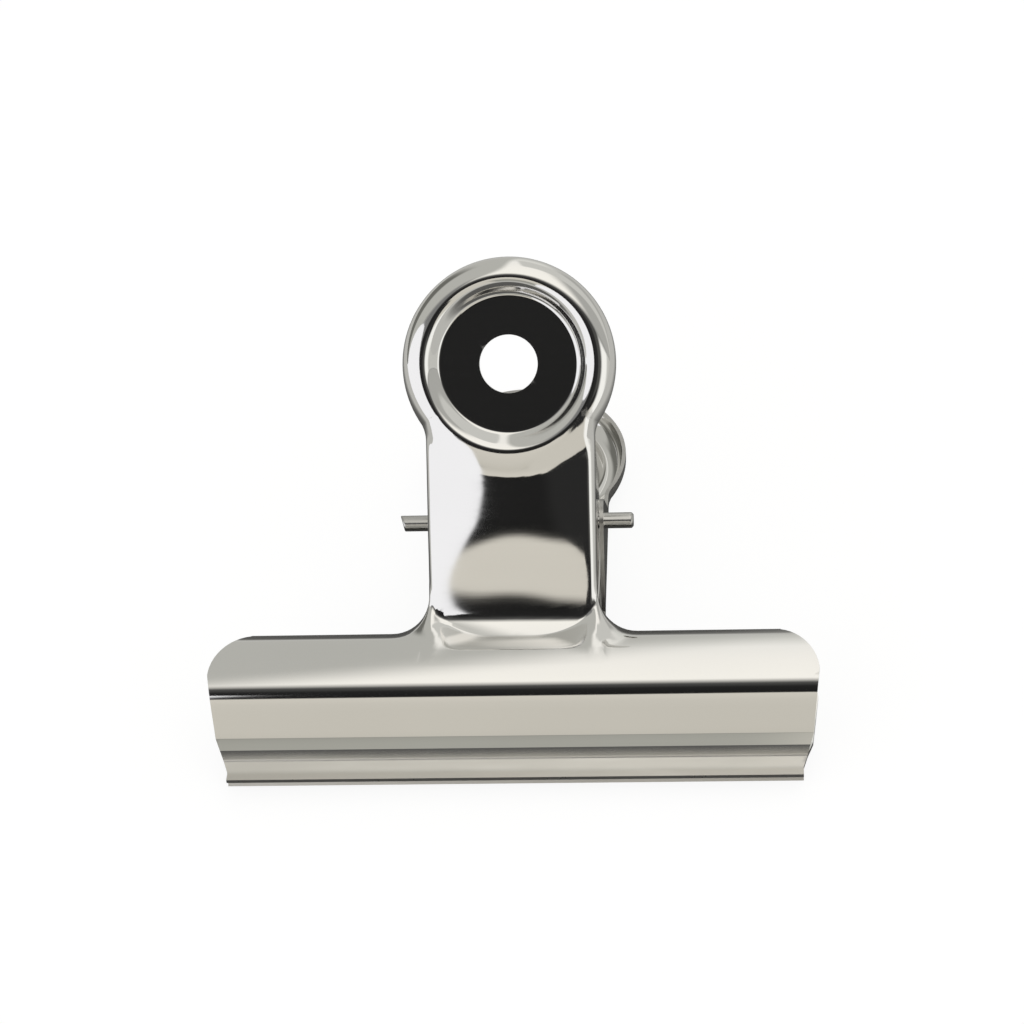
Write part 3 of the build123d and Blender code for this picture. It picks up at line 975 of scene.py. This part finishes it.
def feed(tree, socket, value):
    """Feeds a socket with another socket's value, or with a plain number, vector or colour."""
    if isinstance(value, bpy.types.NodeSocket):
        tree.links.new(value, socket)
    elif socket.type == "RGBA":
        socket.default_value = (*value, 1)
    else:
        socket.default_value = value


def add_node(tree, kind, inputs=(), **settings):
    """Adds a node, sets its plain properties and feeds its inputs."""
    node = tree.nodes.new(kind)
    for name, value in settings.items():
        setattr(node, name, value)
    for name, value in dict(inputs).items():
        feed(tree, node.inputs[name], value)
    return node


def camera_frame(look):
    """Gives the camera's back, right and up directions."""
    back = Vector((
        math.sin(look.azimuth) * math.cos(look.elevation),
        -math.cos(look.azimuth) * math.cos(look.elevation),
        math.sin(look.elevation),
    ))
    level = Vector((math.cos(look.azimuth), math.sin(look.azimuth), 0))
    upright = level.cross(-back)
    right = level * math.cos(look.roll) + upright * math.sin(look.roll)
    return back, right, right.cross(-back)


def set_camera(look):
    """Places the camera at the photograph's viewing angle."""
    back, right, up = camera_frame(look)
    data = bpy.data.cameras.new("photo_camera")
    data.lens = look.lens
    data.sensor_width = 36
    data.clip_start = 0.01
    camera = add_object("photo_camera", data)
    turn = Matrix((right, up, back)).transposed().to_4x4()
    place = Vector(CAMERA_TARGET) * MM + back * look.distance
    camera.matrix_world = Matrix.Translation(place) @ turn
    bpy.context.scene.camera = camera


def soft_step(tree, value, start, end):
    """Eases a value from 0 at its start to 1 at its end."""
    inputs = {"Value": value, "From Min": start, "From Max": end}
    return add_node(tree, "ShaderNodeMapRange", inputs, interpolation_type="SMOOTHSTEP").outputs["Result"]


def arithmetic(tree, operation, *values):
    """Adds a math node and gives its result."""
    node = add_node(tree, "ShaderNodeMath", dict(enumerate(values)), operation=operation)
    return node.outputs["Value"]


def scaled(tree, value, gain, base):
    """Multiplies a value and adds a base to it."""
    return arithmetic(tree, "MULTIPLY_ADD", value, gain, base)


def mix_colours(tree, share, first, second):
    """Mixes two colours, each a socket or a plain colour."""
    inputs = {"Factor": share, "A": first, "B": second}
    return add_node(tree, "ShaderNodeMix", inputs, data_type="RGBA").outputs["Result"]


def colour_ramp(tree, share, stops):
    """Makes a ramp of colours over a share from 0 to 1."""
    node = add_node(tree, "ShaderNodeValToRGB", {"Fac": share})
    elements = node.color_ramp.elements
    while len(elements) < len(stops):
        elements.new(0.5)
    for element, (position, value) in zip(elements, stops):
        element.position = position
        element.color = (*value, 1)
    return node.outputs["Color"]


def noise_field(tree, along, across, detail=2, field=None):
    """Gives a noise over a piece or a field of its points, by features per metre along and across it."""
    if field:
        place = add_node(tree, "ShaderNodeAttribute", attribute_name=field).outputs["Vector"]
    else:
        place = add_node(tree, "ShaderNodeTexCoord").outputs["Object"]
    sized = add_node(tree, "ShaderNodeMapping", {"Vector": place, "Scale": (along, across, across)})
    inputs = {"Vector": sized.outputs["Vector"], "Scale": 1, "Detail": detail}
    return add_node(tree, "ShaderNodeTexNoise", inputs).outputs["Fac"]


def worn_edges(tree):
    """Gives 1 along sharp edges and 0 on open faces."""
    pointiness = add_node(tree, "ShaderNodeNewGeometry").outputs["Pointiness"]
    return soft_step(tree, pointiness, 0.53, 0.62)


def half_worn(tree, base, bare):
    """Mixes half of a bare colour into a base along sharp edges."""
    return mix_colours(tree, arithmetic(tree, "MULTIPLY", worn_edges(tree), 0.5), base, bare)


def shaded(base, share):
    """Darkens a colour to a share of itself."""
    return tuple(part * share for part in base)


def streaked(tree, base, share, *noise):
    """Streaks a colour with a darker share of itself."""
    return mix_colours(tree, noise_field(tree, *noise), shaded(base, share), base)


def metal_shader(name, tone, roughness, *grains):
    """Makes a metal from functions for tone and roughness, and grains: a depth in mm, then a noise."""
    material = bpy.data.materials.new(name)
    material.use_nodes = True
    tree = material.node_tree
    inputs = {"Metallic": 1, "Base Color": tone(tree), "Roughness": roughness(tree)}
    for depth, *noise in grains:
        height = noise_field(tree, *noise)
        bump = add_node(tree, "ShaderNodeBump", {"Distance": depth * MM, "Height": height})
        if "Normal" in inputs:
            feed(tree, bump.inputs["Normal"], inputs["Normal"])
        inputs["Normal"] = bump.outputs["Normal"]
    for key, value in inputs.items():
        feed(tree, tree.nodes["Principled BSDF"].inputs[key], value)
    return material


def nickel_material(finish):
    """Bright nickel on rolled sheet: faint roll lines, soft clouds, rubbed lips and worn edges."""

    def rubbed_and_shaded(tree):
        field = add_node(tree, "ShaderNodeAttribute", attribute_name=RUBBED_AND_SHADED).outputs["Fac"]
        return arithmetic(tree, "MULTIPLY", field, scaled(tree, noise_field(tree, 90, 500, 3), 0.8, 0.6))

    def tone(tree):
        cloudy = shaded(finish.nickel, 0.955)
        clouds = mix_colours(tree, noise_field(tree, 60, 60), finish.nickel, cloudy)
        # The lips' darker colour is painted shade
        dulled_and_shaded = mix_colours(tree, rubbed_and_shaded(tree), clouds, finish.rubbed_and_shaded_nickel)
        return half_worn(tree, dulled_and_shaded, finish.cut_steel)

    def roughness(tree):
        lines = scaled(tree, noise_field(tree, 20, 1600, 4), 0.05, finish.polish - 0.03)
        lips = scaled(tree, rubbed_and_shaded(tree), 0.3, lines)
        return scaled(tree, worn_edges(tree), 0.15, lips)

    return metal_shader("bright_nickel", tone, roughness, (0.006, 45, 55, 1), (0.0005, 15, 1500, 3))


def cut_edge_material(finish):
    """Bare steel where the sheet was sheared: dull, with a fine torn grain."""

    def tone(tree):
        return streaked(tree, finish.cut_steel, 0.8, 900, 900, 3)

    def roughness(tree):
        return scaled(tree, noise_field(tree, 1500, 1500), 0.25, 0.2)

    return metal_shader("sheared_edge", tone, roughness, (0.01, 2500, 2500))


def pin_material(finish):
    """Drawn steel: lines along the pin, and bright worn ends."""

    def tone(tree):
        return half_worn(tree, streaked(tree, finish.pin_steel, 0.82, 30, 1800, 3), finish.nickel)

    def roughness(tree):
        return scaled(tree, noise_field(tree, 60, 2500, 3), 0.2, 0.1)

    return metal_shader("drawn_pin_steel", tone, roughness, (0.003, 30, 3000))


def wire_material(finish):
    """Spring wire: draw lines along the wire, and a faint oil-brown bloom."""

    def tone(tree):
        drawn = streaked(tree, finish.spring_steel, 0.75, 40, 1500, 3, WIRE_GRAIN)
        bloom = soft_step(tree, noise_field(tree, 260, 260, 3), 0.5, 0.75)
        return mix_colours(tree, arithmetic(tree, "MULTIPLY", bloom, 0.5), drawn, finish.wire_bloom)

    def roughness(tree):
        return scaled(tree, noise_field(tree, 60, 2500, 3, WIRE_GRAIN), 0.25, 0.15)

    return metal_shader("spring_wire", tone, roughness, (0.004, 40, 3000, 2, WIRE_GRAIN))


def ray_share(tree, *names):
    """Gives 1 for rays of the named kinds and 0 for others."""
    rays = add_node(tree, "ShaderNodeLightPath")
    share = rays.outputs[names[0]]
    for name in names[1:]:
        share = arithmetic(tree, "MAXIMUM", share, rays.outputs[name])
    return share


def studio_world(look):
    """Surrounds the clip with a soft studio: pale behind and above, dark by the camera."""
    back, right, up = camera_frame(look)
    world = bpy.data.worlds.new("studio")
    bpy.context.scene.world = world
    world.use_nodes = True
    tree = world.node_tree
    tree.nodes.clear()
    place = add_node(tree, "ShaderNodeTexCoord").outputs["Generated"]

    def along(way):
        dot = add_node(tree, "ShaderNodeVectorMath", {0: place, 1: way}, operation="DOT_PRODUCT")
        return dot.outputs["Value"]

    height = arithmetic(tree, "DEGREES", arithmetic(tree, "ARCTAN2", along(up), along(back)))
    side = arithmetic(tree, "DEGREES", arithmetic(tree, "ARCSINE", along(right)))
    slanted = scaled(tree, side, -BAND_SLANT, height)
    stops = [((turn + 180) / 360, value) for turn, value in STUDIO_BANDS]
    light = colour_ramp(tree, scaled(tree, slanted, 1 / 360, 0.5), stops)
    for value, limits in STUDIO_CARDS.values():
        share = None
        for height_share, side_share, start, end in limits:
            reach = scaled(tree, side, side_share, arithmetic(tree, "MULTIPLY", height, height_share))
            step = soft_step(tree, reach, start, end)
            share = step if share is None else arithmetic(tree, "MULTIPLY", share, step)
        light = mix_colours(tree, share, light, value)
    seen = mix_colours(tree, ray_share(tree, "Is Camera Ray"), light, look.backdrop)
    studio = add_node(tree, "ShaderNodeBackground", {"Color": seen})
    add_node(tree, "ShaderNodeOutputWorld", {"Surface": studio.outputs[0]})


def lay_floor(look):
    """Lays the pale floor that the clip rests on, shaded round the clip."""
    mesh = bpy.data.meshes.new("floor")
    corners = [(FLOOR_HALF * x, FLOOR_HALF * y, 0) for x, y in ((-1, -1), (1, -1), (1, 1), (-1, 1))]
    mesh.from_pydata(corners, [], [(0, 1, 2, 3)])
    piece = add_object("floor", mesh)
    material = bpy.data.materials.new("pale_floor")
    material.use_nodes = True
    tree = material.node_tree
    tree.nodes.clear()
    place = add_node(tree, "ShaderNodeNewGeometry").outputs["Position"]
    inputs = {"Vector": place, "Location": (*FLOOR_SHADE_MIDDLE, 0), "Scale": (*FLOOR_SHADE_HALF, 1)}
    sized = add_node(tree, "ShaderNodeMapping", inputs, vector_type="TEXTURE")
    reach = add_node(tree, "ShaderNodeVectorMath", {0: sized.outputs["Vector"]}, operation="LENGTH")
    open_floor = soft_step(tree, reach.outputs["Value"], *FLOOR_SHADE_EDGE)
    # Metal sees the floor's glow darkened round the clip by painted shade
    mirrored = mix_colours(tree, open_floor, look.painted_floor_shade, look.floor_open)
    seen = mix_colours(tree, ray_share(tree, "Is Camera Ray"), mirrored, look.floor_glow)
    strength = ray_share(tree, "Is Camera Ray", "Is Glossy Ray", "Is Transmission Ray")
    glow = add_node(tree, "ShaderNodeEmission", {"Color": seen, "Strength": strength})
    paint = add_node(tree, "ShaderNodeBsdfDiffuse", {"Color": look.floor})
    both = add_node(tree, "ShaderNodeAddShader", {0: paint.outputs[0], 1: glow.outputs[0]})
    add_node(tree, "ShaderNodeOutputMaterial", {"Surface": both.outputs[0]})
    mesh.materials.append(material)


class CLIP_OT_plates(bpy.types.Operator):
    """Press the front and the back plate"""

    bl_idname = "clip.plates"
    bl_label = "Press the plates"

    def execute(self, context):
        sizes = millimetres(context.scene.clip_plates)
        wire = millimetres(context.scene.clip_wire)
        finish = context.scene.clip_finish
        nickel = nickel_material(finish)
        cut_edge = cut_edge_material(finish)
        front = PlateShape(sizes, sizes.front_half_width, wire.pin_radius + PIN_CLEARANCE)
        back = PlateShape(sizes, sizes.back_half_width, wire.pin_radius)
        tilt = rest_tilt(sizes.lean)
        for side, shape, turn_back in (("front", front, False), ("back", back, True)):
            piece = add_plate(f"pressed_plate_{side}", shape, turn_back, tilt, nickel, cut_edge)
            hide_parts(f"{side}_plate")
            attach(piece, side)
        return {"FINISHED"}


class CLIP_OT_pin(bpy.types.Operator):
    """Turn the hinge pin"""

    bl_idname = "clip.pin"
    bl_label = "Turn the pin"

    def execute(self, context):
        sizes = millimetres(context.scene.clip_plates)
        steel = pin_material(context.scene.clip_finish)
        points, faces = pin_mesh(millimetres(context.scene.clip_wire))
        tilt = rest_tilt(sizes.lean)
        piece = add_piece("turned_pin", laid_down(points, tilt), faces, steel)
        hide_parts("hinge_pin")
        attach(piece, "back")
        return {"FINISHED"}


class CLIP_OT_spring(bpy.types.Operator):
    """Wind the torsion spring"""

    bl_idname = "clip.spring"
    bl_label = "Wind the spring"

    def execute(self, context):
        sizes = millimetres(context.scene.clip_plates)
        wire = millimetres(context.scene.clip_wire)
        steel = wire_material(context.scene.clip_finish)
        shape = PlateShape(sizes, sizes.front_half_width, wire.pin_radius)
        line, half_length = spring_line(shape, wire)
        points, faces, grain = tube_mesh(line, wire.wire_radius, WIRE_AROUND)
        tilt = rest_tilt(sizes.lean)
        piece = add_piece("wound_spring", laid_down(points, tilt), faces, steel)
        add_field(piece, WIRE_GRAIN, grain)
        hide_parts("torsion_spring")
        ends = laid_down(np.array(((-half_length, 0, 0), (half_length, 0, 0))), 0)
        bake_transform(piece)
        return {"FINISHED"}


class CLIP_OT_stage(bpy.types.Operator):
    """Lay the floor, hang the light and place the camera"""

    bl_idname = "clip.stage"
    bl_label = "Set the stage"

    def execute(self, context):
        look = context.scene.clip_stage
        studio_world(look)
        lay_floor(look)
        set_camera(look)
        context.scene.view_settings.view_transform = "Standard"
        return {"FINISHED"}


GROUPS = {
    "clip_plates": PlateSizes,
    "clip_wire": WireSizes,
    "clip_finish": ClipFinish,
    "clip_stage": StageLook,
}
OPERATORS = (CLIP_OT_plates, CLIP_OT_pin, CLIP_OT_spring, CLIP_OT_stage)


class CLIP_PT_sidebar(bpy.types.Panel):
    """Lists the clip's sizes, colours and steps"""

    bl_idname = "CLIP_PT_sidebar"
    bl_label = "Bulldog clip"
    bl_space_type = "VIEW_3D"
    bl_region_type = "UI"
    bl_category = "Clip"

    def draw(self, context):
        for operator in OPERATORS:
            self.layout.operator(operator.bl_idname)
        for name, group in GROUPS.items():
            column = self.layout.column(heading=group.__doc__)
            for prop in group.__annotations__:
                column.prop(getattr(context.scene, name), prop)


def register():
    for name, group in GROUPS.items():
        bpy.utils.register_class(group)
        setattr(bpy.types.Scene, name, PointerProperty(type=group))
    for kind in (*OPERATORS, CLIP_PT_sidebar):
        bpy.utils.register_class(kind)


def unregister():
    for kind in (CLIP_PT_sidebar, *reversed(OPERATORS)):
        bpy.utils.unregister_class(kind)
    for name, group in reversed(GROUPS.items()):
        delattr(bpy.types.Scene, name)
        bpy.utils.unregister_class(group)


def main():
    register()
    bpy.ops.clip.plates()
    bpy.ops.clip.pin()
    bpy.ops.clip.spring()
    bpy.ops.clip.stage()


if __name__ == "__main__":
    main()
